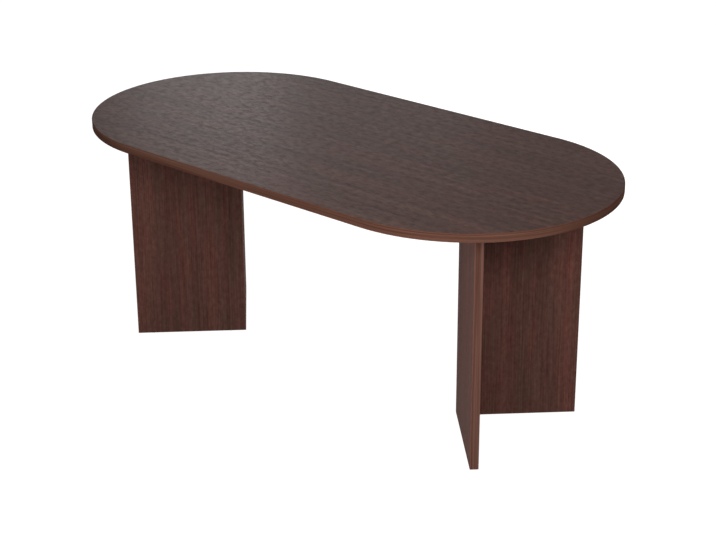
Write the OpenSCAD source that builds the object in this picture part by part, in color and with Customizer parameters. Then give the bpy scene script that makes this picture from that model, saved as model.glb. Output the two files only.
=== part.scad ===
// Racetrack dining table on two V-shaped panel legs. Millimetres.
// X runs along the top, Y across it and Z up. The origin is on the floor, under the middle of the top.
// Each V is a square corner of two laminated boards: the long panel runs through to the corner,
// and the short panel butts against its inner face, held by cam locks and dowels.

/* [Table top] */
// Length of the top, end to end
top_len = 1803; // [1600:1:2400]
// Width of the top, which is also the diameter of its round ends
top_w = 889; // [760:1:1200]
// Height of the top's upper face above the floor
table_h = 749; // [600:1:900]
// Thickness of the top, with its laminate
top_t = 25; // [22:0.5:40]

/* [Laminate and bands] */
// Thickness of the laminate on each face of a board
skin_t = 0.8; // [0.5:0.1:1.2]
// Thickness of the edge band
band_t = 2; // [1:0.1:3]
// Radius that eases the band's two outer corners
band_r = 1.5; // [0.5:0.1:2]
// Thickness of the strip that seals a panel's foot
foot_band_t = 1; // [0.5:0.1:2]

/* [V legs] */
// From the middle of the table to the outer corner of each V
corner_x = 440.5; // [380:0.5:480]
// Length of each arm of the V along its outer face
arm_len = 352; // [280:1:400]
// Thickness of a leg panel, with its laminate
panel_t = 25; // [22:0.5:32]

/* [Corner joint] */
// Cam locks up each corner, with a dowel between each two and one past each end
cam_count = 3; // [2:1:4]
// From a panel's top and foot to the nearest dowel
joint_margin = 60; // [50:1:90]
// Diameter of a cam lock
cam_d = 15; // [14:0.5:18]
// Length of a cam lock
cam_len = 16; // [16:0.5:18]
// From the short panel's butt end to the middle of a cam lock
cam_set = 34; // [24:0.5:40]
// Diameter of the cam bolt's shank
cam_bolt_d = 7; // [6:0.5:8]
// Diameter of the cam bolt's thread
cam_thread_d = 6; // [5:0.5:7]
// How far the cam bolt is screwed into the long panel
cam_thread_len = 11; // [8:0.5:13]
// Diameter of the cam bolt's head
cam_head_d = 6.5; // [5.5:0.1:7]
// Diameter of the neck behind the head
cam_neck_d = 4; // [3:0.1:4.5]
// How far the cam lock has been turned to draw the corner tight, in degrees
cam_turn = 110; // [90:1:150]
// Diameter of a cover cap
cap_d = 18; // [17.5:0.5:22]
// Thickness of a cover cap's rim
cap_t = 1.2; // [0.8:0.1:2]
// Diameter of a dowel
dowel_d = 8; // [6:0.5:10]
// Length of a dowel
dowel_len = 32; // [25:1:40]
// How far a dowel stands in the long panel
dowel_in = 12; // [8:0.5:15]
// Bevel on a dowel's ends
dowel_bevel = 1; // [0.5:0.1:1.5]

/* [Angle brackets] */
// Length of each leg of a bracket
bracket_leg = 40; // [34:1:60]
// Width of a bracket
bracket_w = 50; // [44:1:70]
// Thickness of a bracket's steel
bracket_t = 2; // [1.5:0.1:3]
// Outer radius of a bracket's bend
bend_r = 3.5; // [3:0.1:5]
// Radius of a bracket's free corners
bracket_r = 6; // [2:0.5:10]
// From the corner of the angle to the screws in each leg
screw_line = 24; // [20:0.5:28]
// Distance between the two screws in one leg
screw_gap = 28; // [24:0.5:30]
// From the V's outer corner to the middle of the bracket nearest to it
bracket_root = 125; // [110:1:140]
// From a panel's free end to the middle of the bracket nearest to it
bracket_tip = 57; // [40:1:80]

/* [Screws and inserts] */
// Diameter of the screws into the top
bolt_d = 6; // [5:0.5:6]
// Length of the screws into the top, under the head
bolt_len = 14; // [12:0.5:15]
// Diameter of their heads
bolt_head_d = 10.5; // [9.5:0.1:12]
// Height of their heads
bolt_head_h = 3.3; // [2.5:0.1:4]
// Hexagon socket of their heads, across the flats
bolt_key = 4; // [3:0.5:5]
// Diameter of the screws into the panels
screw_d = 4; // [3.5:0.1:4.5]
// Length of the screws into the panels, under the head
screw_len = 16; // [12:0.5:18]
// Diameter of their heads
screw_head_d = 8; // [7:0.1:9]
// Height of their heads
screw_head_h = 2.6; // [2:0.1:3.2]
// Outer diameter of a threaded insert
insert_d = 10; // [9:0.1:12]
// Length of the inserts in the top
top_insert_len = 14; // [13:0.5:16]
// Length of the inserts in the panels' feet
foot_insert_len = 15; // [12:0.5:25]

/* [Glides] */
// From each end of a panel to the middle of a glide
glide_in = 50; // [35:1:90]
// Diameter of a glide's pad
pad_d = 17; // [15:0.5:20]
// Height of the pad, which is also the gap between the floor and the panels
pad_h = 2.5; // [2.5:0.1:6]
// Thickness of the pad's sole
sole_t = 0.8; // [0.6:0.1:1]
// Bevel round the sole
sole_bevel = 0.5; // [0.2:0.1:0.6]
// Diameter of the screw's flat head inside the pad
disc_d = 12; // [11:0.1:13]
// Thickness of the flat head
disc_t = 1; // [0.8:0.1:1.2]
// Diameter of the screw stem
stem_d = 6; // [5:0.5:6]
// Hexagon socket in the flat head, across the flats
stem_key = 3; // [2:0.5:3.5]
// Diameter of the hole for the key through the sole
key_hole_d = 5; // [4.5:0.1:7]
// How far a glide can be screwed out
glide_travel = 10; // [5:1:20]

/* [Fits] */
// Clearance round a stem in its insert
thread_fit = 0.05; // [0.02:0.01:0.1]
// Clearance round the pad's moving faces
swivel_fit = 0.3; // [0.2:0.05:0.5]
// Clearance round the cam locks and bolts
cam_fit = 0.1; // [0.05:0.05:0.2]
// Clearance round the screws in a bracket's holes
hole_fit = 0.3; // [0.1:0.05:0.4]
// How deep the cam locks lie under the panel's face
cam_sink = 0.2; // [0:0.1:0.5]
// Air at the end of each blind hole
hole_end = 0.8; // [0.5:0.1:1]

/* [Hidden] */
$fn = 96;

// Turn of each V about the middle of the table
right = 0;
left = 180;
// The two arms of a V; the value is the side of its outer face on which a panel's thickness lies
long = -1;
short = 1;
// The two glides of a panel
tip = 1;
root = 0;

// Overlap of a cutting shape past the face that it opens
past = 0.5;
corner_turn = 45;
end_r = top_w / 2;
end_x = top_len / 2 - end_r;
leg_top = table_h - top_t;
leg_h = leg_top - pad_h;
fitting_count = 2 * cam_count + 1;
fitting_pitch = (leg_h - 2 * joint_margin) / (fitting_count - 1);
dowel_rows = [for (i = [0 : 2 : fitting_count - 1]) pad_h + joint_margin + i * fitting_pitch];
cam_rows = [for (i = [1 : 2 : fitting_count - 1]) pad_h + joint_margin + i * fitting_pitch];
// The pocket in a cam lock clears the bolt's head in every direction
cam_pocket_r = cam_head_d / 2 + cam_fit + (cam_d / 2 - cam_head_d / 2) / 2;
head_reach = sqrt(pow(cam_pocket_r - cam_fit, 2) - pow(cam_head_d / 2, 2));
head_len = cam_head_d / 2;
shank_end = cam_set - cam_d / 2 - cam_fit - past;
// Screwdriver recess of a cam lock: its round middle, and the width, span and depth of its cross
drive_d = 5;
drive_w = 1.6;
drive_cross = 8;
drive_h = 3;
// The neck's slot starts this many degrees before the neck
slot_lead = 20;
// Bevel on the end of a metal thread, and the blunt point of a wood screw
tip_bevel = 0.8;
point_d = 0.6;
// The hole above a foot insert clears the stem
drill_d = stem_d + 2;
stem_top = pad_h + foot_insert_len + glide_travel;

board_tone = [0.66, 0.54, 0.40];
top_tone = [0.33, 0.28, 0.26];
leg_tone = [0.28, 0.18, 0.16];
band_tone = [0.42, 0.26, 0.20];
steel_tone = [0.70, 0.71, 0.73];
zinc_tone = [0.60, 0.60, 0.62];
beech_tone = [0.80, 0.62, 0.42];
cap_tone = [0.24, 0.15, 0.12];
nylon_tone = [0.12, 0.11, 0.11];

// Inner end of a panel along its arm: the short one starts at the long one's inner face
function start_of(arm) = arm == long ? 0 : panel_t;
function glide_x(arm, end) = end == tip ? arm_len - glide_in : start_of(arm) + glide_in;

// Frame of one V: origin at its outer corner, long panel along X, short panel along -Y
module leg_frame(turn)
    rotate([0, 0, turn]) translate([corner_x, 0, 0]) rotate([0, 0, corner_turn]) children();

// Frame of one panel: X along the arm from the corner, outer face on Y = 0
module panel_frame(turn, arm)
    leg_frame(turn) rotate([0, 0, arm == long ? 0 : -90]) children();

// A slab of a panel, given by its depths from the outer face
module slab(arm, from_x, to_x, depth_a, depth_b, low, high)
    translate([from_x, arm > 0 ? depth_a : -depth_b, low])
        cube([to_x - from_x, depth_b - depth_a, high - low]);

// Frame at a corner fitting: Z runs from the long panel's inner face along the short panel's middle
module corner_frame(turn, height)
    leg_frame(turn) translate([panel_t / 2, -panel_t, height]) rotate([90, 0, 0]) children();

// Frame at a cam lock: Z runs into the short panel from its inner face, X away from the corner
module cam_frame(turn, height)
    corner_frame(turn, height) translate([panel_t / 2, 0, cam_set]) rotate([0, -90, 0]) children();

// Frame at each bracket of a panel: Y runs from the panel's inner face into the V, Z up to the top
module at_panel_brackets(turn, arm)
    for (x = [bracket_root, arm_len - bracket_tip])
        panel_frame(turn, arm) translate([x, arm * panel_t, leg_top])
            rotate([0, 0, arm == short ? 0 : 180]) children();

module at_brackets()
    for (turn = [right, left], arm = [long, short]) at_panel_brackets(turn, arm) children();

// The screws through a bracket, seated on its steel: Z runs into the top or into the panel
module at_top_screws()
    for (side = [-1, 1]) translate([side * screw_gap / 2, screw_line, -bracket_t]) children();
module at_panel_screws()
    for (side = [-1, 1]) translate([side * screw_gap / 2, bracket_t, -screw_line])
        rotate([90, 0, 0]) children();

// Frame on the floor under one glide
module glide_frame(turn, arm, end)
    panel_frame(turn, arm) translate([glide_x(arm, end), arm * panel_t / 2, 0]) children();

module at_glides()
    for (turn = [right, left], arm = [long, short], end = [root, tip])
        glide_frame(turn, arm, end) children();

// Frames at the dowels and at the cam bolts of both corners
module at_dowels()
    for (turn = [right, left], height = dowel_rows) corner_frame(turn, height) children();
module at_cam_bolts()
    for (turn = [right, left], height = cam_rows) corner_frame(turn, height) children();
module at_cams()
    for (turn = [right, left], height = cam_rows) cam_frame(turn, height) children();

// Outline of the top, drawn in by an inset
module racetrack(inset) {
    for (side = [-1, 1]) translate([side * end_x, 0]) circle(end_r - inset, $fn = 360);
    square([2 * end_x, 2 * (end_r - inset)], center = true);
}

module racetrack_plate(inset, low, high)
    translate([0, 0, low]) linear_extrude(high - low) racetrack(inset);

// Section of an edge band: inner face on X = 0, outer corners eased
module band_section(width) intersection() {
    square([band_t, width]);
    union() {
        translate([-band_r, 0]) square([band_t, width]);
        translate([-band_r, band_r]) square([band_t + band_r, width - 2 * band_r]);
        for (y = [band_r, width - band_r]) translate([band_t - band_r, y]) circle(band_r, $fn = 48);
    }
}

// Holes under the top for the threaded inserts
module top_insert_holes(depth) at_brackets() at_top_screws()
    translate([0, 0, bracket_t - past]) cylinder(d = insert_d, h = depth + past);

module top_core() color(board_tone) difference() {
    racetrack_plate(band_t, leg_top + skin_t, table_h - skin_t);
    top_insert_holes(top_insert_len + hole_end);
}

module top_laminate() color(top_tone) racetrack_plate(band_t, table_h - skin_t, table_h);

module top_backer() color(leg_tone) difference() {
    racetrack_plate(band_t, leg_top, leg_top + skin_t);
    top_insert_holes(top_insert_len);
}

// The band runs round both half-round ends and along the two straight sides
module top_edge_band() color(band_tone) for (turn = [right, left]) rotate([0, 0, turn]) {
    translate([end_x, 0, leg_top]) rotate([0, 0, -90])
        rotate_extrude(angle = 180, $fn = 360) translate([end_r - band_t, 0]) band_section(top_t);
    translate([-end_x, end_r - band_t, leg_top]) rotate([90, 0, 90])
        linear_extrude(2 * end_x) band_section(top_t);
}

// Holes up one corner, for the dowels, the cam bolts and the cam locks
module corner_holes(turn) {
    for (height = dowel_rows) corner_frame(turn, height)
        translate([0, 0, -dowel_in - hole_end]) cylinder(d = dowel_d, h = dowel_len + 2 * hole_end);
    for (height = cam_rows) {
        corner_frame(turn, height) {
            translate([0, 0, -cam_thread_len - hole_end])
                cylinder(d = cam_thread_d, h = cam_thread_len + hole_end + past);
            cylinder(d = cam_bolt_d + 2 * cam_fit, h = cam_set);
        }
        cam_frame(turn, height)
            translate([0, 0, -past]) cylinder(d = cam_d + 2 * cam_fit, h = cam_sink + cam_len + past);
    }
}

module panel_screw_holes(turn, arm) at_panel_brackets(turn, arm) at_panel_screws()
    cylinder(d = screw_d, h = screw_len + hole_end);

module foot_insert_holes(turn, arm) for (end = [root, tip]) glide_frame(turn, arm, end) {
    translate([0, 0, pad_h - past]) cylinder(d = insert_d, h = foot_insert_len + past);
    cylinder(d = drill_d, h = stem_top + hole_end);
}

module panel_core(turn, arm) color(board_tone) difference() {
    panel_frame(turn, arm) slab(arm, arm == long ? band_t : panel_t, arm_len - band_t,
        skin_t, panel_t - skin_t, pad_h + foot_band_t, leg_top);
    corner_holes(turn);
    panel_screw_holes(turn, arm);
    foot_insert_holes(turn, arm);
}

module panel_skins(turn, arm) color(leg_tone) difference() {
    panel_frame(turn, arm) for (depth = [0, panel_t - skin_t])
        slab(arm, arm == long ? band_t : panel_t, arm_len - band_t,
            depth, depth + skin_t, pad_h + foot_band_t, leg_top);
    corner_holes(turn);
    panel_screw_holes(turn, arm);
}

// Upright bands on a panel's free ends, and the strip under its foot between them
module panel_bands(turn, arm) color(band_tone) difference() {
    panel_frame(turn, arm) {
        translate([arm_len - band_t, min(0, arm * panel_t), pad_h])
            linear_extrude(leg_h) band_section(panel_t);
        if (arm == long) translate([band_t, 0, pad_h]) rotate([0, 0, 180])
            linear_extrude(leg_h) band_section(panel_t);
        slab(arm, arm == long ? band_t : panel_t, arm_len - band_t,
            0, panel_t, pad_h, pad_h + foot_band_t);
    }
    foot_insert_holes(turn, arm);
}

module corner_dowels() color(beech_tone) at_dowels()
    translate([0, 0, -dowel_in]) rotate_extrude() polygon([
        [0, 0], [dowel_d / 2 - dowel_bevel, 0], [dowel_d / 2, dowel_bevel],
        [dowel_d / 2, dowel_len - dowel_bevel], [dowel_d / 2 - dowel_bevel, dowel_len], [0, dowel_len]
    ]);

// Screwed into the long panel, through the short one's end and into the cam lock
module cam_bolts() color(zinc_tone) at_cam_bolts() rotate_extrude() polygon([
    [0, -cam_thread_len], [cam_thread_d / 2 - tip_bevel, -cam_thread_len],
    [cam_thread_d / 2, tip_bevel - cam_thread_len], [cam_thread_d / 2, 0],
    [cam_bolt_d / 2, 0], [cam_bolt_d / 2, shank_end],
    [cam_neck_d / 2, shank_end], [cam_neck_d / 2, cam_set - head_reach],
    [cam_head_d / 2, cam_set - head_reach], [cam_head_d / 2, cam_set - head_reach + head_len],
    [0, cam_set - head_reach + head_len]
]);

// Cross for a screwdriver, cut from Z = 0 down into the piece
module cross_recess(across, width, depth) for (turn = [-corner_turn, corner_turn])
    rotate([0, 0, turn]) translate([-across / 2, -width / 2, -past]) cube([across, width, depth + past]);

// A turned drum: cross recess on its face, a pocket for the bolt's head, the hole through which the
// head came in, and the narrow slot along which the neck has slid as the drum was turned
module cam_lock() difference() {
    translate([0, 0, cam_sink]) cylinder(d = cam_d, h = cam_len);
    translate([0, 0, cam_sink]) {
        translate([0, 0, -past]) cylinder(d = drive_d, h = drive_h + past);
        cross_recess(drive_cross, drive_w, drive_h);
    }
    translate([0, 0, panel_t / 2 - cam_head_d / 2 - cam_fit]) cylinder(r = cam_pocket_r, h = cam_len);
    rotate([0, 0, cam_turn]) translate([0, 0, panel_t / 2]) rotate([0, -90, 0])
        cylinder(d = cam_head_d + 2 * cam_fit, h = cam_d);
    rotate([0, 0, 180 - slot_lead]) rotate_extrude(angle = cam_turn + slot_lead)
        translate([cam_pocket_r - past, panel_t / 2 - cam_neck_d / 2 - cam_fit])
            square([cam_d, cam_neck_d + 2 * cam_fit]);
}

module cam_locks() color(zinc_tone) at_cams() cam_lock();

// A thin lid with a stud that clips into the lock's recess
module cam_caps() color(cap_tone) at_cams() rotate_extrude() polygon([
    [0, -cap_t], [cap_d / 2 - cap_t, -cap_t], [cap_d / 2, -cap_t / 2], [cap_d / 2, 0],
    [drive_d / 2 - cam_fit, 0], [drive_d / 2 - cam_fit, cam_sink + drive_h - hole_end],
    [0, cam_sink + drive_h - hole_end]
]);

// One leg of a bracket, from the bend's edge on Y = bend_r to its rounded end
module bracket_leaf(hole_d) linear_extrude(bracket_t) difference() {
    union() {
        translate([-bracket_w / 2, bend_r]) square([bracket_w, bracket_leg - bend_r - bracket_r]);
        translate([bracket_r - bracket_w / 2, bend_r])
            square([bracket_w - 2 * bracket_r, bracket_leg - bend_r]);
        for (side = [-1, 1])
            translate([side * (bracket_w / 2 - bracket_r), bracket_leg - bracket_r]) circle(bracket_r);
    }
    for (side = [-1, 1]) translate([side * screw_gap / 2, screw_line]) circle(d = hole_d);
}

module bracket() {
    translate([0, 0, -bracket_t]) bracket_leaf(bolt_d + 2 * hole_fit);
    translate([0, bracket_t, 0]) rotate([-90, 0, 0]) mirror([0, 0, 1])
        bracket_leaf(screw_d + 2 * hole_fit);
    translate([-bracket_w / 2, bend_r, -bend_r]) rotate([90, 0, 90]) linear_extrude(bracket_w)
        intersection() {
            translate([-bend_r, 0]) square(bend_r);
            difference() {
                circle(bend_r);
                circle(bend_r - bracket_t);
            }
        }
}

module brackets() color(steel_tone) at_brackets() bracket();

// A screw with its head's seat on Z = 0 and its shank along Z
module headed_screw(shank_d, shank_len, head_d, head_h, tip_d, tip_len) rotate_extrude() polygon([
    [0, -head_h], [head_d / 2 - head_h / 2, -head_h], [head_d / 2, -head_h / 2], [head_d / 2, 0],
    [shank_d / 2, 0], [shank_d / 2, shank_len - tip_len], [tip_d / 2, shank_len], [0, shank_len]
]);

module bracket_screws() color(steel_tone) at_brackets() at_panel_screws() difference() {
    headed_screw(screw_d, screw_len, screw_head_d, screw_head_h, point_d, screw_d);
    translate([0, 0, -screw_head_h]) cross_recess(screw_head_d / 2, drive_w / 2, screw_head_h / 2);
}

// Hexagon socket for a key, cut from Z = 0 down into the piece
module hex_socket(key, depth)
    translate([0, 0, -past]) cylinder(d = key / cos(180 / 6), h = depth + past, $fn = 6);

module top_screws() color(steel_tone) at_brackets() at_top_screws() difference() {
    headed_screw(bolt_d, bolt_len, bolt_head_d, bolt_head_h, bolt_d - 2 * tip_bevel, tip_bevel);
    translate([0, 0, -bolt_head_h]) hex_socket(bolt_key, bolt_head_h / 2);
}

module threaded_insert(length, bore_d) difference() {
    cylinder(d = insert_d, h = length);
    translate([0, 0, -past]) cylinder(d = bore_d, h = length + 2 * past);
}

module top_inserts() color(zinc_tone) at_brackets() at_top_screws()
    translate([0, 0, bracket_t]) threaded_insert(top_insert_len, bolt_d);

module glide_inserts() color(zinc_tone) at_glides()
    translate([0, 0, pad_h]) threaded_insert(foot_insert_len, stem_d + 2 * thread_fit);

// The glide's screw: flat head inside the pad, socket from below, thread up through the insert
module stem(turn, arm, end) color(steel_tone) glide_frame(turn, arm, end) difference() {
    rotate_extrude() polygon([
        [0, sole_t], [disc_d / 2, sole_t], [disc_d / 2, sole_t + disc_t], [stem_d / 2, sole_t + disc_t],
        [stem_d / 2, stem_top - tip_bevel], [stem_d / 2 - tip_bevel, stem_top], [0, stem_top]
    ]);
    translate([0, 0, sole_t]) hex_socket(stem_key, disc_t + stem_key);
}

// The pad snaps over the screw's head and swivels on it
module pad(turn, arm, end) color(nylon_tone) glide_frame(turn, arm, end) rotate_extrude() polygon([
    [key_hole_d / 2, 0], [pad_d / 2 - sole_bevel, 0], [pad_d / 2, sole_bevel], [pad_d / 2, pad_h],
    [stem_d / 2 + swivel_fit, pad_h], [stem_d / 2 + swivel_fit, sole_t + disc_t],
    [disc_d / 2 + swivel_fit, sole_t + disc_t], [disc_d / 2 + swivel_fit, sole_t], [key_hole_d / 2, sole_t]
]);

top_core();
top_laminate();
top_backer();
top_edge_band();
panel_core(right, long);  // right_long_core
panel_skins(right, long);  // right_long_skins
panel_bands(right, long);  // right_long_bands
panel_core(right, short);  // right_short_core
panel_skins(right, short);  // right_short_skins
panel_bands(right, short);  // right_short_bands
panel_core(left, long);  // left_long_core
panel_skins(left, long);  // left_long_skins
panel_bands(left, long);  // left_long_bands
panel_core(left, short);  // left_short_core
panel_skins(left, short);  // left_short_skins
panel_bands(left, short);  // left_short_bands
corner_dowels();
cam_bolts();
cam_locks();
cam_caps();
brackets();
bracket_screws();
top_screws();
top_inserts();
glide_inserts();
stem(right, long, tip);  // right_long_stem_tip
stem(right, long, root);  // right_long_stem_root
stem(right, short, tip);  // right_short_stem_tip
stem(right, short, root);  // right_short_stem_root
stem(left, long, tip);  // left_long_stem_tip
stem(left, long, root);  // left_long_stem_root
stem(left, short, tip);  // left_short_stem_tip
stem(left, short, root);  // left_short_stem_root
pad(right, long, tip);  // right_long_pad_tip
pad(right, long, root);  // right_long_pad_root
pad(right, short, tip);  // right_short_pad_tip
pad(right, short, root);  // right_short_pad_root
pad(left, long, tip);  // left_long_pad_tip
pad(left, long, root);  // left_long_pad_root
pad(left, short, tip);  // left_short_pad_tip
pad(left, short, root);  // left_short_pad_root
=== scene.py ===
import math

import bmesh
import bpy
from mathutils import Matrix, Vector


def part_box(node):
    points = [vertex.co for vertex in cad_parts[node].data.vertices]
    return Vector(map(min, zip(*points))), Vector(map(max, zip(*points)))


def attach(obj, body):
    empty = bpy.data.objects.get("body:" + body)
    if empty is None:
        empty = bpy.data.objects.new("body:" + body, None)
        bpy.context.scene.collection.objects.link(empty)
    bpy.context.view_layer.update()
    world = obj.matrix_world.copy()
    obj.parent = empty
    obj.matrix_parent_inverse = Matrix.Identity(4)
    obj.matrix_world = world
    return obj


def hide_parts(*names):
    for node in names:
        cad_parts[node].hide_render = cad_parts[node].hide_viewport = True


bl_info = {
    "name": "Racetrack Table Finishes",
    "version": (1, 0, 0),
    "blender": (4, 5, 0),
    "location": "3D View > Sidebar > Table",
    "description": "Finishes, screw threads, stage and camera for a laminated table on V-shaped legs",
    "category": "Material",
}

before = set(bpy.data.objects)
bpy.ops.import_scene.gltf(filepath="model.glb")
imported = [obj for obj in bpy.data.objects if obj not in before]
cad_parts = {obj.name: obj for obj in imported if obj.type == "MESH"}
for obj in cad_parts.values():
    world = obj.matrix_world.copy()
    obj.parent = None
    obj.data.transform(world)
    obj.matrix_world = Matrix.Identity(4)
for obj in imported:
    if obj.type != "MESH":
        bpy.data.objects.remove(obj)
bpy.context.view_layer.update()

MM = 0.001
WHITE = (1.0, 1.0, 1.0)
TURNS = ("right", "left")
ARMS = ("long", "short")
ENDS = ("tip", "root")
CORNER_COS = math.cos(math.radians(45))


def panel_nodes(kind):
    """The nodes of one kind on all four leg panels."""
    return [f"{turn}_{arm}_{kind}" for turn in TURNS for arm in ARMS]


def glide_nodes(kind):
    """The nodes of one kind at all eight glides."""
    return [f"{turn}_{arm}_{kind}_{end}" for turn in TURNS for arm in ARMS for end in ENDS]


def top_sizes():
    """Length and width of the top and its upper and lower face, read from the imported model."""
    low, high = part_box("top_edge_band")
    return high.x - low.x, high.y - low.y, high.z, low.z


TOP_LEN, TOP_W, TABLE_H, TOP_UNDER = top_sizes()


# Shapes

class GlideScrew:
    """A glide's screw: a flat head with a hexagon socket from below, and a cut thread above it."""

    sides = 24
    # The thread's pitch, the radii of its crest and core, and the height of its tapered point
    pitch = 1.0 * MM
    crest = 3.0 * MM
    core = 2.39 * MM
    point = 0.8 * MM
    # Radius and height of the smooth neck between the head and the thread
    neck = 2.95 * MM
    neck_h = 1.34 * MM
    # The head's play in the pad, its thickness and eased edge, and its socket's width and depth
    play = 0.04 * MM
    head_t = 0.92 * MM
    bevel = 0.12 * MM
    key = 3.0 * MM
    socket = 4.0 * MM
    # Points nearer than this are one, and edges sharper than this stay sharp
    weld = 0.001 * MM
    sharp = math.radians(30)
    # Places along one pitch, and how far out the thread stands there
    profile = ((0.0, 1.0), (0.125, 1.0), (0.4375, 0.0), (0.6875, 0.0))

    def __init__(self, low, high):
        self.middle = Vector(((low.x + high.x) / 2, (low.y + high.y) / 2, 0.0))
        self.head_r = (high.x - low.x) / 2
        self.foot, self.top = low.z + self.play, high.z
        self.start = self.foot + self.head_t + self.neck_h + self.neck - self.core
        self.end = self.top - self.point

    def at(self, step, radius, z):
        """A point on a side of the screw."""
        angle = 2 * math.pi * step / self.sides
        return radius * math.cos(angle), radius * math.sin(angle), z

    def ring(self, radius, z):
        """A round ring of points."""
        return [self.at(step, radius, z) for step in range(self.sides)]

    def hexagon(self, z):
        """A ring of points on the socket's hexagon."""
        sixth = math.pi / 3
        offs = [2 * math.pi * step / self.sides % sixth - sixth / 2 for step in range(self.sides)]
        return [self.at(step, self.key / 2 / math.cos(off), z) for step, off in enumerate(offs)]

    def thread_point(self, row, step):
        """A point of the right-hand thread, which grows out of the core and sinks into it again."""
        turn, part = divmod(row, len(self.profile))
        place, stand = self.profile[part]
        z = self.start + self.pitch * (turn - 1 + place + step / self.sides)
        z = min(max(z, self.start), self.end)
        fade = min(1.0, (z - self.start) / self.pitch, (self.end - z) / self.pitch)
        return self.at(step, self.core + (self.crest - self.core) * stand * fade, z)

    def thread(self):
        """The thread's faces, whose last column meets the first one a pitch further up."""
        rows = len(self.profile) * (math.ceil((self.end - self.start) / self.pitch) + 2)
        for row in range(rows):
            for step in range(self.sides):
                beside, up = (step + 1) % self.sides, len(self.profile) * ((step + 1) // self.sides)
                yield [
                    self.thread_point(row, step), self.thread_point(row + up, beside),
                    self.thread_point(row + 1 + up, beside), self.thread_point(row + 1, step),
                ]

    def turned(self, rings):
        """The faces between rings of points."""
        for first, second in zip(rings, rings[1:]):
            for step in range(self.sides):
                beside = (step + 1) % self.sides
                yield [first[step], first[beside], second[beside], second[step]]

    def faces(self):
        """All faces, from the socket's floor round the head and up the thread to the point."""
        foot, shoulder = self.foot, self.foot + self.head_t
        floor = self.hexagon(foot + self.socket)
        head = [
            floor, self.hexagon(foot), self.ring(self.head_r - self.bevel, foot),
            self.ring(self.head_r, foot + self.bevel), self.ring(self.head_r, shoulder - self.bevel),
            self.ring(self.head_r - self.bevel, shoulder), self.ring(self.neck, shoulder),
            self.ring(self.neck, shoulder + self.neck_h), self.ring(self.core, self.start),
        ]
        point = self.ring(self.core - self.point / 2, self.top)
        return [
            floor[::-1], *self.turned(head), *self.thread(),
            *self.turned([self.ring(self.core, self.end), point]), point,
        ]

    def mesh(self, name):
        """One closed mesh, shaded smooth but for its real edges."""
        net = bmesh.new()
        for corners in self.faces():
            net.faces.new([net.verts.new(corner) for corner in corners])
        bmesh.ops.remove_doubles(net, verts=net.verts, dist=self.weld)
        for face in net.faces:
            face.smooth = True
        mesh = bpy.data.meshes.new(name)
        net.to_mesh(mesh)
        net.free()
        mesh.set_sharp_from_angle(angle=self.sharp)
        mesh.transform(Matrix.Translation(self.middle))
        return mesh


def threaded(node):
    """Puts a screw with a real thread in the place of a plain stem."""
    name = node.replace("stem", "screw")
    piece = bpy.data.objects.new(name, GlideScrew(*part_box(node)).mesh(name))
    bpy.context.scene.collection.objects.link(piece)
    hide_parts(node)
    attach(piece, node)
    return piece


# Shader sums

# A Mix node's sockets for its first and second colour and for its result
MIX_FIRST, MIX_SECOND, MIX_RESULT = 6, 7, 2


class Wire:
    """A socket of a finish that takes part in Python sums."""

    def __init__(self, tree, socket):
        self.tree = tree
        self.socket = socket

    def sum(self, operation, *values):
        """A Math node on this wire's tree."""
        return self.tree.add("ShaderNodeMath", {"operation": operation}, dict(enumerate(values)))

    def __add__(self, other):
        return self.sum("ADD", self, other)

    def __radd__(self, other):
        return self.sum("ADD", other, self)

    def __sub__(self, other):
        return self.sum("SUBTRACT", self, other)

    def __rsub__(self, other):
        return self.sum("SUBTRACT", other, self)

    def __mul__(self, other):
        return self.sum("MULTIPLY", self, other)

    def __rmul__(self, other):
        return self.sum("MULTIPLY", other, self)

    def __pow__(self, other):
        return self.sum("POWER", self, other)

    def __abs__(self):
        return self.sum("ABSOLUTE", self)

    def least(self, other):
        """The smaller of two values."""
        return self.sum("MINIMUM", self, other)

    def most(self, other):
        """The larger of two values."""
        return self.sum("MAXIMUM", self, other)

    def sign(self):
        """1, 0 or -1."""
        return self.sum("SIGN", self)

    def above(self, edge):
        """1 where the value is over the edge, 0 elsewhere."""
        return self.sum("GREATER_THAN", self, edge)

    def rise(self, start, end):
        """A smooth step from 0 at start to 1 at end."""
        return self.tree.add(
            "ShaderNodeMapRange",
            {"interpolation_type": "SMOOTHSTEP", "clamp": True},
            {"Value": self, "From Min": start, "From Max": end, "To Min": 0.0, "To Max": 1.0},
        )


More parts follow.
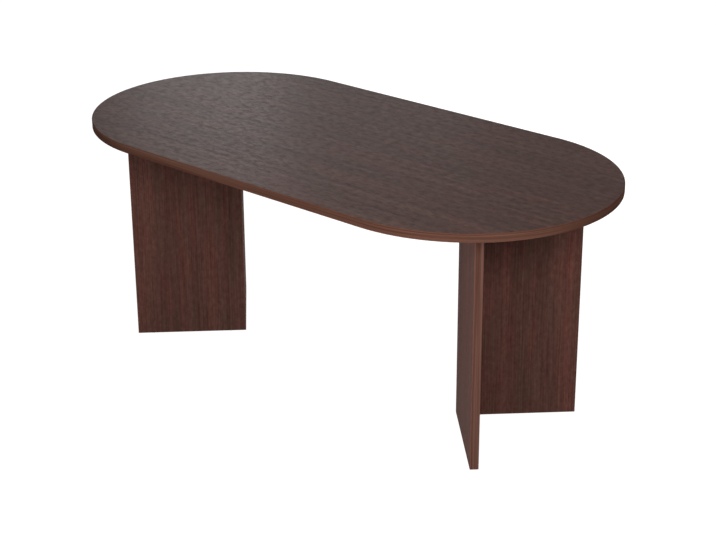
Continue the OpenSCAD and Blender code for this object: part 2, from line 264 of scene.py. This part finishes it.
class Finish:
    """The nodes of a material or a world, one method call for each node."""

    def __init__(self, owner, place="Object"):
        owner.use_nodes = True
        self.owner = owner
        self.tree = owner.node_tree
        self.tree.nodes.clear()
        self.point = self.add("ShaderNodeTexCoord", output=place)
        split = self.add("ShaderNodeSeparateXYZ", inputs={0: self.point})
        self.x, self.y, self.z = (Wire(self, split.socket.node.outputs[i]) for i in range(3))

    def add(self, kind, settings=None, inputs=None, output=0):
        """Adds a node, sets it, fills or links its sockets and returns one of its outputs."""
        node = self.tree.nodes.new(kind)
        for key, value in (settings or {}).items():
            if key == "stops":
                self.set_stops(node.color_ramp, value)
            else:
                setattr(node, key, value)
        for key, value in (inputs or {}).items():
            if isinstance(value, Wire):
                self.tree.links.new(value.socket, node.inputs[key])
            else:
                node.inputs[key].default_value = value
        return Wire(self, node.outputs[output]) if node.outputs else None

    @staticmethod
    def set_stops(ramp, stops):
        """Gives a colour ramp its stops, as (position, colour) pairs."""
        while len(ramp.elements) > 1:
            ramp.elements.remove(ramp.elements[-1])
        for i, (position, tone) in enumerate(stops):
            stop = ramp.elements[0] if i == 0 else ramp.elements.new(position)
            stop.position = position
            stop.color = (*tone, 1.0)

    def vector(self, x, y, z):
        """Three values as one vector."""
        return self.add("ShaderNodeCombineXYZ", inputs={0: x, 1: y, 2: z})

    def noise(self, place, scale=1.0, detail=2.0, rough=0.5, bend=0.0):
        """Soft noise from 0 to 1."""
        return self.add("ShaderNodeTexNoise", inputs={
            "Vector": place, "Scale": scale, "Detail": detail, "Roughness": rough, "Distortion": bend,
        })

    def ramp(self, value, stops):
        """A colour from a value."""
        return self.add("ShaderNodeValToRGB", {"stops": stops}, {0: value})

    def blend(self, factor, first, second, mode="MIX"):
        """Two colours mixed."""
        first, second = (tone if isinstance(tone, Wire) else (*tone, 1.0) for tone in (first, second))
        return self.add(
            "ShaderNodeMix",
            {"data_type": "RGBA", "blend_type": mode, "clamp_factor": True},
            {0: factor, MIX_FIRST: first, MIX_SECOND: second},
            output=MIX_RESULT,
        )

    def looked_at(self, reach=1.0):
        """1 for rays that look, straight, mirrored or through glass, and 0 for light that falls."""
        straight = self.add("ShaderNodeLightPath", output="Is Camera Ray")
        outputs = straight.socket.node.outputs
        mirrored = Wire(self, outputs["Is Glossy Ray"])
        through = Wire(self, outputs["Is Transmission Ray"])
        return straight.most(mirrored.most(through) * reach)

    def bump(self, height, strength, distance):
        """A surface normal from a height in units of the distance."""
        sockets = {"Height": height, "Strength": strength, "Distance": distance}
        return self.add("ShaderNodeBump", inputs=sockets)

    def surface(self, **sockets):
        """Ends the tree in a Principled shader with the sockets given, named with _ for a space."""
        shader = self.add("ShaderNodeBsdfPrincipled")
        node = shader.socket.node
        for key, value in sockets.items():
            socket = node.inputs[key.replace("_", " ")]
            if isinstance(value, Wire):
                self.tree.links.new(value.socket, socket)
            else:
                socket.default_value = value
        return self.close(shader)

    def close(self, shader, kind="ShaderNodeOutputMaterial"):
        """Links a shader to the output and returns the finished material or world."""
        self.add(kind, inputs={"Surface": shader})
        return self.owner


def finish(name):
    """A new material's nodes."""
    return Finish(bpy.data.materials.new(name))


def tint(tone, level):
    """A colour made lighter or darker."""
    return tuple(c * level for c in tone)


def dress(nodes, material):
    """Gives the material to every slot of the nodes."""
    for name in nodes:
        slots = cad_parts[name].material_slots
        if not slots:
            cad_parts[name].data.materials.append(material)
        for slot in slots:
            slot.material = material


# Sizes and colours that a user would change

def colour(name, description, default):
    """A colour property."""
    return bpy.props.FloatVectorProperty(
        name=name, description=description, subtype="COLOR", size=3, min=0.0, max=1.0, default=default
    )


def length(name, description, default, low, high):
    """A length property."""
    return bpy.props.FloatProperty(
        name=name, description=description, subtype="DISTANCE", unit="LENGTH",
        default=default, min=low, max=high,
    )


def tilt(name, description, default):
    """An angle property, given in degrees."""
    return bpy.props.FloatProperty(
        name=name, description=description, subtype="ANGLE", default=math.radians(default),
    )


def brightness(name, description, default, high):
    """A lamp's or the room's strength."""
    return bpy.props.FloatProperty(name=name, description=description, default=default, min=0.0, max=high)


class TableWoods(bpy.types.PropertyGroup):
    """Colours and grain of the laminates and edge bands"""

    top_tone: colour("Top laminate", "Middle colour of the top's laminate", (0.0795, 0.0340, 0.0255))
    leg_tone: colour("Leg laminate", "Middle colour of the legs' laminate", (0.0865, 0.0380, 0.0297))
    top_band_tone: colour("Top edge band", "Middle colour of the top's band", (0.0835, 0.0362, 0.0248))
    leg_band_tone: colour("Leg edge band", "Middle colour of the legs' bands", (0.0935, 0.0420, 0.0308))
    red_tone: colour("Red streaks", "Colour of the legs' warm streaks", (0.102, 0.0405, 0.0320))
    olive_tone: colour("Olive streaks", "Colour of the legs' cool dark streaks", (0.064, 0.0315, 0.0242))
    grain_depth: length("Grain depth", "Depth of the pressed grain", 0.12 * MM, 0.0, 1.0 * MM)
    corner_x: length("Leg corner", "Each leg's corner from the middle", 440.5 * MM, 380 * MM, 480 * MM)
    panel_t: length("Panel thickness", "Thickness of a leg panel", 25 * MM, 22 * MM, 32 * MM)


class TableHardware(bpy.types.PropertyGroup):
    """Colours of the fittings"""

    steel_tone: colour("Steel", "Colour of brackets, screws and stems", (0.52, 0.53, 0.54))
    zinc_tone: colour("Zinc", "Colour of cams, bolts and inserts", (0.46, 0.46, 0.45))
    cap_tone: colour("Caps", "Colour of the cams' cover caps", (0.070, 0.032, 0.025))
    nylon_tone: colour("Nylon", "Colour of the glides' pads", (0.024, 0.020, 0.018))
    board_tone: colour("Chipboard", "Middle colour of the boards' cores", (0.36, 0.24, 0.13))
    beech_tone: colour("Beech", "Middle colour of the dowels", (0.52, 0.34, 0.19))


class TableStage(bpy.types.PropertyGroup):
    """Camera, lamps and floor"""

    eye: bpy.props.FloatVectorProperty(
        name="Camera", description="Place of the camera", subtype="TRANSLATION", size=3,
        unit="LENGTH", default=(3.2486771, -3.5742738, 2.3614823),
    )
    yaw: tilt("Heading", "Direction of view, counted from +Y towards +X", -41.7917987)
    pitch: tilt("Downward tilt", "Tilt of the view below the horizon", 22.7427101)
    roll: tilt("Roll", "Turn of the camera about its own axis", -0.3077548)
    lens: bpy.props.FloatProperty(
        name="Lens", description="Focal length in mm on the sensor", default=86.17547, min=10.0, max=300.0,
    )
    floor_tone: colour("Floor", "Colour of the floor", (0.60, 0.60, 0.60))
    room_level: brightness("Room light", "Strength of the room's even light", 0.28, 2.0)
    key_level: brightness("Key light", "Radiance of the front soft box", 18.6, 80.0)
    sheen_level: brightness("Back light", "Radiance of the soft box that the top mirrors", 1.90, 50.0)


# Finishes

# Faint cool and warm patches that lie over the laminates' grain
PATCHES = [(0.32, (0.90, 1.06, 1.00)), (0.5, WHITE), (0.68, (1.16, 0.96, 0.98))]
# Where on the sheet the left leg's grain is cut, and how much further on the right leg's; the cuts lay the
# grain's lighter and darker stretches where the panels are more lit and more shaded, so these are partly
# random tone and partly painted light and shade
LEFT_TONE_AND_SHADE_CUT, RIGHT_TONE_AND_SHADE_CUT = 12.5, 11.85
# Where on its roll the top's band is cut; this lays the band's slow lighter and darker stretches where the
# light along it is brighter and dimmer, so they are partly random tone and partly painted light
BAND_TONE_AND_LIGHT_CUT = 36.1
# How far the top's long lines sway from side to side
SWAY = 12 * MM
# The height in the noise that the top's ticks are taken from, apart from its lines
TICK_LEVEL = 3.0
# Powers that make a shade's red, green and blue differ, so that dark is warmer and light is greyer
WARMTH = (0.92, 1.15, 1.18)
# Places on a grain's noise where its dark and its light side are full
GRAIN_DARK, GRAIN_LIGHT = 0.30, 0.70
# How strongly the pressed grain shows on laminates and bands
RELIEF = 0.3
# Where the painted highlight along an arris starts and is full, counted from the top's upper face or a
# panel's faces
TOP_ARRIS_HIGHLIGHT = (3.4 * MM, 1.2 * MM)
LEG_ARRIS_HIGHLIGHT = (3.6 * MM, 1.2 * MM)
# Where the painted highlight along the top's lower arris starts to fade and ends, counted from the lower
# face
LOW_ARRIS_HIGHLIGHT = (0.4 * MM, 2.4 * MM)
# How much lighter the painted highlight along an arris is than its band
ARRIS_HIGHLIGHT_LIFT = 1.5
# Where the seam of the top's band starts to fade and ends, counted from its middle, and its tone
SEAM = (0.1 * MM, 0.3 * MM)
SEAM_TONE = 0.3
# A band is sliced finer across its grain than the sheets are
BAND_FINENESS = 1.7


def drawn_out(f, place, per_run, per_width, **how):
    """Noise drawn out along the grain, with so many changes in a metre along it and across it."""
    along, across, through = place
    return f.noise(f.vector(along * per_run, across * per_width, through * per_width), **how)


def streaks(f, place):
    """Broad, middle and fine grain that runs the first way, each from 0 to 1."""
    broad = drawn_out(f, place, 0.5, 15, detail=3.0, rough=0.55, bend=0.1)
    middle = drawn_out(f, place, 1.1, 90, detail=4.0, rough=0.62, bend=0.1)
    fine = drawn_out(f, place, 5, 330, detail=3.0, rough=0.6)
    return broad, middle, fine


def warm(level):
    """A level as a colour that is warmer when dark and greyer when light."""
    return tuple(level ** power for power in WARMTH)


def shade(f, body, grain, dark, light, weight):
    """Darkens and lightens a colour with a grain whose middle leaves it as it is."""
    stops = [(GRAIN_DARK, warm(dark)), (0.50, WHITE), (GRAIN_LIGHT, warm(light))]
    return f.blend(weight, body, f.ramp(grain, stops), "MULTIPLY")


def pressed(f, woods, body, height, rough, gloss, **more):
    """Ends a wood finish whose grain is pressed into the surface."""
    return f.surface(
        Base_Color=body, Roughness=rough, Specular_IOR_Level=gloss,
        Normal=f.bump(height, RELIEF, woods.grain_depth), **more,
    )


def leg_laminate(woods):
    """Dark reddish-brown walnut laminate with upright grain."""
    f = finish("leg laminate")
    # The cuts lay the grain's lighter and darker stretches partly as painted light and shade on the panels
    place = f.z, f.x + (LEFT_TONE_AND_SHADE_CUT + RIGHT_TONE_AND_SHADE_CUT * f.x.above(0.0)), f.y
    broad, middle, fine = streaks(f, place)
    tone = tuple(woods.leg_tone)
    red, olive = tuple(woods.red_tone), tuple(woods.olive_tone)
    body = f.ramp(broad, [(0.30, olive), (0.45, tint(tone, 0.94)), (0.56, tone), (0.70, red)])
    patch = drawn_out(f, place, 5, 28, detail=2.0)
    body = f.blend(0.6, body, f.ramp(patch, PATCHES), "MULTIPLY")
    ticks = drawn_out(f, place, 55, 90, detail=3.0, rough=0.7)
    body = shade(f, body, middle, dark=0.88, light=1.09, weight=0.9)
    body = shade(f, body, fine, dark=0.70, light=1.24, weight=0.9)
    body = shade(f, body, ticks, dark=0.81, light=1.19, weight=1.0)
    height = middle * 0.3 + ticks * 0.2 + fine * 0.5
    return pressed(
        f, woods, body, height, rough=0.66 + 0.14 * fine, gloss=0.04, Diffuse_Roughness=0.6,
    )


def top_laminate(woods):
    """Grey-brown walnut laminate with long fine lines along the top and short ticks between them."""
    f = finish("top laminate")
    sway = f.noise(f.vector(f.x * 2.4, f.y * 4.0, 0.0), detail=2.0)
    across = f.y + SWAY * (sway - 0.5)
    place = f.x, across, 0.0
    broad = drawn_out(f, place, 1.3, 9, detail=3.0, rough=0.55, bend=0.5)
    lines = drawn_out(f, place, 0.9, 46, detail=4.0, rough=0.68)
    ticks = f.noise(f.vector(f.x * 36, across * 58, TICK_LEVEL), detail=4.0, rough=0.7)
    pores = drawn_out(f, place, 45, 340, detail=3.0, rough=0.6)
    tone = tuple(woods.top_tone)
    body = f.ramp(broad, [(0.30, tint(tone, 0.84)), (0.50, tone), (0.70, tint(tone, 1.12))])
    patch = f.noise(f.vector(f.x * 5, f.y * 11, 0.0), detail=2.0)
    body = f.blend(0.5, body, f.ramp(patch, PATCHES), "MULTIPLY")
    body = shade(f, body, lines, dark=0.58, light=1.43, weight=1.0)
    body = shade(f, body, ticks, dark=0.68, light=1.31, weight=1.0)
    body = shade(f, body, pores, dark=0.60, light=1.32, weight=1.0)
    height = lines * 0.2 + ticks * 0.3 + pores * 0.5
    matt = (1.0 - ticks.rise(0.34, 0.60)) * 0.09 + (1.0 - pores.rise(0.36, 0.56)) * 0.04
    return pressed(f, woods, body, height, rough=0.29 + matt, gloss=0.20)


def backer(woods):
    """Plain dark balancing sheet under the top."""
    f = finish("backing sheet")
    speck = f.noise(f.point, scale=380.0, detail=3.0, rough=0.6)
    cloud = f.noise(f.point, scale=6.0, detail=3.0)
    tone = tint(tuple(woods.leg_tone), 0.9)
    body = f.ramp(cloud, [(0.3, tint(tone, 0.92)), (0.7, tint(tone, 1.08))])
    body = f.blend(0.6, body, f.ramp(speck, [(0.35, (0.86,) * 3), (0.65, (1.12,) * 3)]), "MULTIPLY")
    return f.surface(
        Base_Color=body, Roughness=0.55 + 0.1 * speck, Specular_IOR_Level=0.25,
        Normal=f.bump(speck, 0.25, woods.grain_depth),
    )


def arris_highlight(f, body, wear, tone):
    """Lightens a band along its arrises with a painted highlight, where their rounded edges catch the
    light.
    """
    return f.blend(wear, body, tint(tone, ARRIS_HIGHLIGHT_LIFT))


def band_colour(f, tone, along, across, through):
    """Reddish-brown band with grain along its run."""
    broad, middle, fine = streaks(f, (along, across * BAND_FINENESS, through * BAND_FINENESS))
    body = f.ramp(broad, [(0.30, tint(tone, 0.92)), (0.50, tone), (0.72, tint(tone, 1.08))])
    body = shade(f, body, middle, dark=0.54, light=1.42, weight=1.0)
    body = shade(f, body, fine, dark=0.70, light=1.24, weight=0.8)
    return body, middle * 0.4 + fine * 0.6, fine


def top_band(woods):
    """Edge band round the top, with its grain along the run and its seam at the back."""
    f = finish("top edge band")
    radius = TOP_W / 2
    half = TOP_LEN / 2 - radius
    quarter = half + radius * math.pi / 2
    past = (abs(f.x) - half).most(0.0)
    swing = past.sum("ARCTAN2", past, abs(f.y))
    run = abs(f.x).least(half) + radius * swing
    back = f.y.above(0.0)
    run = f.x.sign() * (run + back * (2 * quarter - 2 * run))
    out = (past * past + f.y * f.y) ** 0.5
    tone = tuple(woods.top_band_tone)
    body, height, fine = band_colour(f, tone, run, f.z, out)
    # Slow lighter and darker stretches along the run: partly random tone, partly painted light laid where
    # the band is lit brighter and dimmer
    slow_tone_and_light = f.noise(f.vector(run * 1.6 + BAND_TONE_AND_LIGHT_CUT, 0.5, 0.5), detail=1.0)
    body = shade(f, body, slow_tone_and_light, dark=0.76, light=1.22, weight=0.85)
    # Painted highlights along the band's upper and lower arrises, broken up by noise
    highlight_break = f.noise(f.vector(run * 30, f.z * 200, 0.0), detail=3.0)
    high = f.z.rise(*(TABLE_H - edge for edge in TOP_ARRIS_HIGHLIGHT))
    low = 1.0 - f.z.rise(*(TOP_UNDER + edge for edge in LOW_ARRIS_HIGHLIGHT))
    body = arris_highlight(f, body, high * (0.35 + 0.6 * highlight_break), tone)
    body = arris_highlight(f, body, low * (0.10 + 0.4 * highlight_break), tone)
    seam = 1.0 - abs(abs(run) - 2 * quarter).rise(*SEAM)
    body = f.blend(seam, body, tint(tone, SEAM_TONE))
    return pressed(f, woods, body, height, rough=0.60 + 0.14 * fine, gloss=0.005)


def leg_band(woods):
    """Edge band of the leg panels, with upright grain and painted highlights along its arrises."""
    f = finish("leg edge band")
    tone = tuple(woods.leg_band_tone)
    body, height, fine = band_colour(f, tone, f.z, f.x, f.y)
    depth = (abs(f.x) - woods.corner_x - abs(f.y)) * CORNER_COS
    half = woods.panel_t / 2
    # Painted highlight along the band's arrises, where their rounded edges catch the light
    lit_arris = abs(depth - half).rise(*(half - edge for edge in LEG_ARRIS_HIGHLIGHT))
    highlight_break = f.noise(f.vector(f.x * 200, f.y * 200, f.z * 30), detail=3.0)
    body = arris_highlight(f, body, lit_arris * (0.25 + 0.6 * highlight_break), tone)
    return pressed(f, woods, body, height, rough=0.60 + 0.14 * fine, gloss=0.04)


def chipboard(hardware):
    """Pressed wood chips, seen only inside the screw holes."""
    f = finish("chipboard")
    chips = f.add(
        "ShaderNodeTexVoronoi", {"feature": "F1"},
        {"Vector": f.point, "Scale": 420.0, "Randomness": 1.0}, output="Color",
    )
    level = f.add("ShaderNodeRGBToBW", inputs={0: chips})
    tone = tuple(hardware.board_tone)
    body = f.ramp(level, [(0.1, tint(tone, 0.55)), (0.5, tone), (0.9, tint(tone, 1.4))])
    return f.surface(Base_Color=body, Roughness=0.85, Normal=f.bump(level, 0.5, 0.4 * MM))


def beech(hardware):
    """Fluted dowel wood."""
    f = finish("beech")
    grain = f.noise(f.point, scale=260.0, detail=4.0, rough=0.6, bend=0.6)
    tone = tuple(hardware.beech_tone)
    body = f.ramp(grain, [(0.3, tint(tone, 0.78)), (0.7, tint(tone, 1.12))])
    return f.surface(Base_Color=body, Roughness=0.6, Normal=f.bump(grain, 0.3, 0.2 * MM))


def metal(name, tone, rough):
    """Plated metal with faint blotches and fine marks from handling."""
    f = finish(name)
    cloud = f.noise(f.point, scale=45.0, detail=4.0, rough=0.6)
    marks = f.noise(f.point, scale=900.0, detail=3.0, rough=0.6)
    body = f.ramp(cloud, [(0.3, tint(tone, 0.82)), (0.7, tint(tone, 1.12))])
    return f.surface(
        Base_Color=body, Metallic=1.0, Roughness=rough + 0.2 * (cloud * 0.6 + marks * 0.4 - 0.5),
        Normal=f.bump(marks, 0.15, 0.05 * MM),
    )


def plastic(name, tone, rough, gloss):
    """Moulded plastic with a fine texture."""
    f = finish(name)
    skin = f.noise(f.point, scale=1400.0, detail=3.0, rough=0.6)
    cloud = f.noise(f.point, scale=60.0, detail=2.0)
    body = f.ramp(cloud, [(0.3, tint(tone, 0.85)), (0.7, tint(tone, 1.15))])
    return f.surface(
        Base_Color=body, Roughness=rough + 0.15 * (skin - 0.5), Specular_IOR_Level=gloss,
        Normal=f.bump(skin, 0.2, 0.08 * MM),
    )


# Operators

class TABLE_OT_top(bpy.types.Operator):
    """Finishes the top: laminate, edge band, backing sheet and core"""

    bl_idname = "table.finish_top"
    bl_label = "Finish the Top"

    def execute(self, context):
        woods, hardware = context.scene.table_woods, context.scene.table_hardware
        dress(["top_laminate"], top_laminate(woods))
        dress(["top_edge_band"], top_band(woods))
        dress(["top_backer"], backer(woods))
        dress(["top_core"], chipboard(hardware))
        return {"FINISHED"}


class TABLE_OT_legs(bpy.types.Operator):
    """Finishes the leg panels: laminate skins, edge bands and cores"""

    bl_idname = "table.finish_legs"
    bl_label = "Finish the Legs"

    def execute(self, context):
        woods, hardware = context.scene.table_woods, context.scene.table_hardware
        dress(panel_nodes("skins"), leg_laminate(woods))
        dress(panel_nodes("bands"), leg_band(woods))
        dress(panel_nodes("core"), chipboard(hardware))
        return {"FINISHED"}


class TABLE_OT_joints(bpy.types.Operator):
    """Finishes the corner joints: dowels, cams, bolts and caps"""

    bl_idname = "table.finish_joints"
    bl_label = "Finish the Corner Joints"

    def execute(self, context):
        hardware = context.scene.table_hardware
        dress(["corner_dowels"], beech(hardware))
        alloy = metal("zinc alloy", tuple(hardware.zinc_tone), rough=0.42)
        dress(["cam_bolts", "cam_locks"], alloy)
        caps = plastic("cover caps", tuple(hardware.cap_tone), rough=0.58, gloss=0.10)
        dress(["cam_caps"], caps)
        return {"FINISHED"}


class TABLE_OT_brackets(bpy.types.Operator):
    """Finishes the brackets under the top, their screws and the threaded inserts"""

    bl_idname = "table.finish_brackets"
    bl_label = "Finish the Brackets"

    def execute(self, context):
        hardware = context.scene.table_hardware
        steel = metal("plated steel", tuple(hardware.steel_tone), rough=0.34)
        dress(["brackets", "bracket_screws", "top_screws"], steel)
        zinc = metal("zinc inserts", tuple(hardware.zinc_tone), rough=0.40)
        dress(["top_inserts", "glide_inserts"], zinc)
        return {"FINISHED"}


class TABLE_OT_glides(bpy.types.Operator):
    """Cuts the threads of the screw glides and finishes their stems and pads"""

    bl_idname = "table.finish_glides"
    bl_label = "Finish the Glides"

    def execute(self, context):
        hardware = context.scene.table_hardware
        steel = metal("glide stems", tuple(hardware.steel_tone), rough=0.34)
        dress(glide_nodes("stem"), steel)
        for node in glide_nodes("stem"):
            threaded(node).data.materials.append(steel)
        nylon = plastic("nylon pads", tuple(hardware.nylon_tone), rough=0.55, gloss=0.25)
        dress(glide_nodes("pad"), nylon)
        return {"FINISHED"}


# The soft boxes: each one's place, the point it faces, width, height, the setting that it follows,
# its share of that setting, and whether the table mirrors it
SOFT_BOXES = {
    "key soft box": ((2.7, -2.3, 2.2), (0.2, 0.0, 0.5), 1.3, 1.1, "key_level", 1.0, False),
    "low soft box": ((1.0, -2.2, 0.9), (0.4, 0.0, 0.6), 0.8, 0.6, "key_level", 0.71, False),
    "back soft box": ((-5.1, 4.15, 2.6), (-0.5, 0.0, 0.75), 1.1, 0.7, "sheen_level", 1.0, True),
    "back fill": ((-4.2, 4.7, 2.5), (-0.2, 0.0, 0.75), 1.8, 0.8, "sheen_level", 0.30, True),
    "rear soft box": ((-0.9, 4.0, 1.6), (0.0, 0.0, 0.4), 1.8, 1.2, "key_level", 0.61, False),
}
# How far the floor reaches each way
FLOOR_REACH = 30.0
# The floor that is seen glows to near white, and its own colour is held back to keep the shadow soft
FLOOR_GLOW = 0.92
FLOOR_SHADE = 0.5
# Height above the horizon at which a mirrored ray meets the room's own light instead of white
MIRRORED_WHITE = 0.08
# The camera's sensor in millimetres, and how many metres off it still sees
SENSOR = 36.0
FAR_CLIP = 200.0


def soft_box(name, place, target, width, height, radiance, mirrored):
    """An even area lamp of a given radiance that faces a point and isn't seen itself."""
    lamp = bpy.data.lights.new(name, "AREA")
    lamp.shape = "RECTANGLE"
    lamp.size, lamp.size_y = width, height
    lamp.energy = radiance * math.pi * width * height
    holder = bpy.data.objects.new(name, lamp)
    holder.location = place
    holder.rotation_mode = "QUATERNION"
    holder.rotation_quaternion = (Vector(target) - Vector(place)).to_track_quat("-Z", "Y")
    holder.visible_camera = False
    holder.visible_glossy = mirrored
    bpy.context.scene.collection.objects.link(holder)


class TABLE_OT_stage(bpy.types.Operator):
    """Sets up the floor, the soft light and the camera"""

    bl_idname = "table.set_stage"
    bl_label = "Set the Stage"

    def execute(self, context):
        stage = context.scene.table_stage
        self.floor(stage)
        self.room(context.scene, stage)
        for name, (*form, setting, share, mirrored) in SOFT_BOXES.items():
            soft_box(name, *form, getattr(stage, setting) * share, mirrored)
        self.camera(context.scene, stage)
        context.scene.view_settings.view_transform = "Standard"
        return {"FINISHED"}

    @staticmethod
    def floor(stage):
        """A wide plain floor, seen as white with a soft shadow, and not seen at all from below."""
        mesh = bpy.data.meshes.new("floor")
        signs = ((-1, -1), (1, -1), (1, 1), (-1, 1))
        corners = [(x * FLOOR_REACH, y * FLOOR_REACH, 0.0) for x, y in signs]
        mesh.from_pydata(corners, [], [(0, 1, 2, 3)])
        floor = bpy.data.objects.new("floor", mesh)
        bpy.context.scene.collection.objects.link(floor)
        f = finish("floor")
        seen = f.looked_at()
        tone = tuple(stage.floor_tone)
        plain = f.add("ShaderNodeBsdfDiffuse", inputs={"Color": (*tone, 1.0)})
        pale = f.add("ShaderNodeBsdfDiffuse", inputs={"Color": (*tint(tone, FLOOR_SHADE), 1.0)})
        lift = f.add("ShaderNodeEmission", inputs={"Color": (*WHITE, 1.0), "Strength": FLOOR_GLOW})
        white = f.add("ShaderNodeAddShader", inputs={0: pale, 1: lift})
        upper = f.add("ShaderNodeMixShader", inputs={0: seen, 1: plain, 2: white})
        under = f.add("ShaderNodeNewGeometry", output="Backfacing")
        clear = f.add("ShaderNodeBsdfTransparent")
        both = f.add("ShaderNodeMixShader", inputs={0: under, 1: upper, 2: clear})
        floor.data.materials.append(f.close(both))

    @staticmethod
    def room(scene, stage):
        """An even room that the camera sees as white."""
        f = Finish(bpy.data.worlds.new("room"), "Generated")
        even, white = (
            f.add("ShaderNodeBackground", inputs={"Color": (*WHITE, 1.0), "Strength": level})
            for level in (stage.room_level, 1.0)
        )
        seen = f.looked_at(1.0 - f.z.rise(0.0, MIRRORED_WHITE))
        mixed = f.add("ShaderNodeMixShader", inputs={0: seen, 1: even, 2: white})
        scene.world = f.close(mixed, "ShaderNodeOutputWorld")

    @staticmethod
    def camera(scene, stage):
        """The photograph's point of view."""
        yaw, pitch, roll = stage.yaw, stage.pitch, stage.roll
        ahead = Vector((
            math.sin(yaw) * math.cos(pitch), math.cos(yaw) * math.cos(pitch), -math.sin(pitch)
        ))
        level = Vector((math.cos(yaw), -math.sin(yaw), 0.0))
        up = level.cross(ahead)
        right = math.cos(roll) * level + math.sin(roll) * up
        up = math.cos(roll) * up - math.sin(roll) * level
        camera = bpy.data.objects.new("camera", bpy.data.cameras.new("camera"))
        camera.data.sensor_width = SENSOR
        camera.data.lens = stage.lens
        camera.data.clip_end = FAR_CLIP
        turn = Matrix((right, up, -ahead)).transposed()
        camera.matrix_world = Matrix.Translation(Vector(stage.eye)) @ turn.to_4x4()
        scene.collection.objects.link(camera)
        scene.camera = camera


class TABLE_PT_panel(bpy.types.Panel):
    """The table's steps and settings"""

    bl_idname = "TABLE_PT_panel"
    bl_label = "Racetrack Table"
    bl_space_type = "VIEW_3D"
    bl_region_type = "UI"
    bl_category = "Table"

    def draw(self, context):
        for step in STEPS:
            self.layout.operator(step.bl_idname)
        for group in GROUPS:
            settings = getattr(context.scene, group)
            box = self.layout.box()
            for key in settings.__annotations__:
                box.prop(settings, key)


GROUPS = {"table_woods": TableWoods, "table_hardware": TableHardware, "table_stage": TableStage}
STEPS = (
    TABLE_OT_top, TABLE_OT_legs, TABLE_OT_joints, TABLE_OT_brackets, TABLE_OT_glides, TABLE_OT_stage,
)
CLASSES = (*GROUPS.values(), *STEPS, TABLE_PT_panel)


def register():
    """Adds the classes and hangs the settings on the scene."""
    for item in CLASSES:
        bpy.utils.register_class(item)
    for name, group in GROUPS.items():
        setattr(bpy.types.Scene, name, bpy.props.PointerProperty(type=group))


def unregister():
    """Takes the settings and classes away again."""
    for name in GROUPS:
        delattr(bpy.types.Scene, name)
    for item in reversed(CLASSES):
        bpy.utils.unregister_class(item)


def main():
    """Runs every step in order."""
    register()
    bpy.ops.table.finish_top()
    bpy.ops.table.finish_legs()
    bpy.ops.table.finish_joints()
    bpy.ops.table.finish_brackets()
    bpy.ops.table.finish_glides()
    bpy.ops.table.set_stage()


if __name__ == "__main__":
    main()
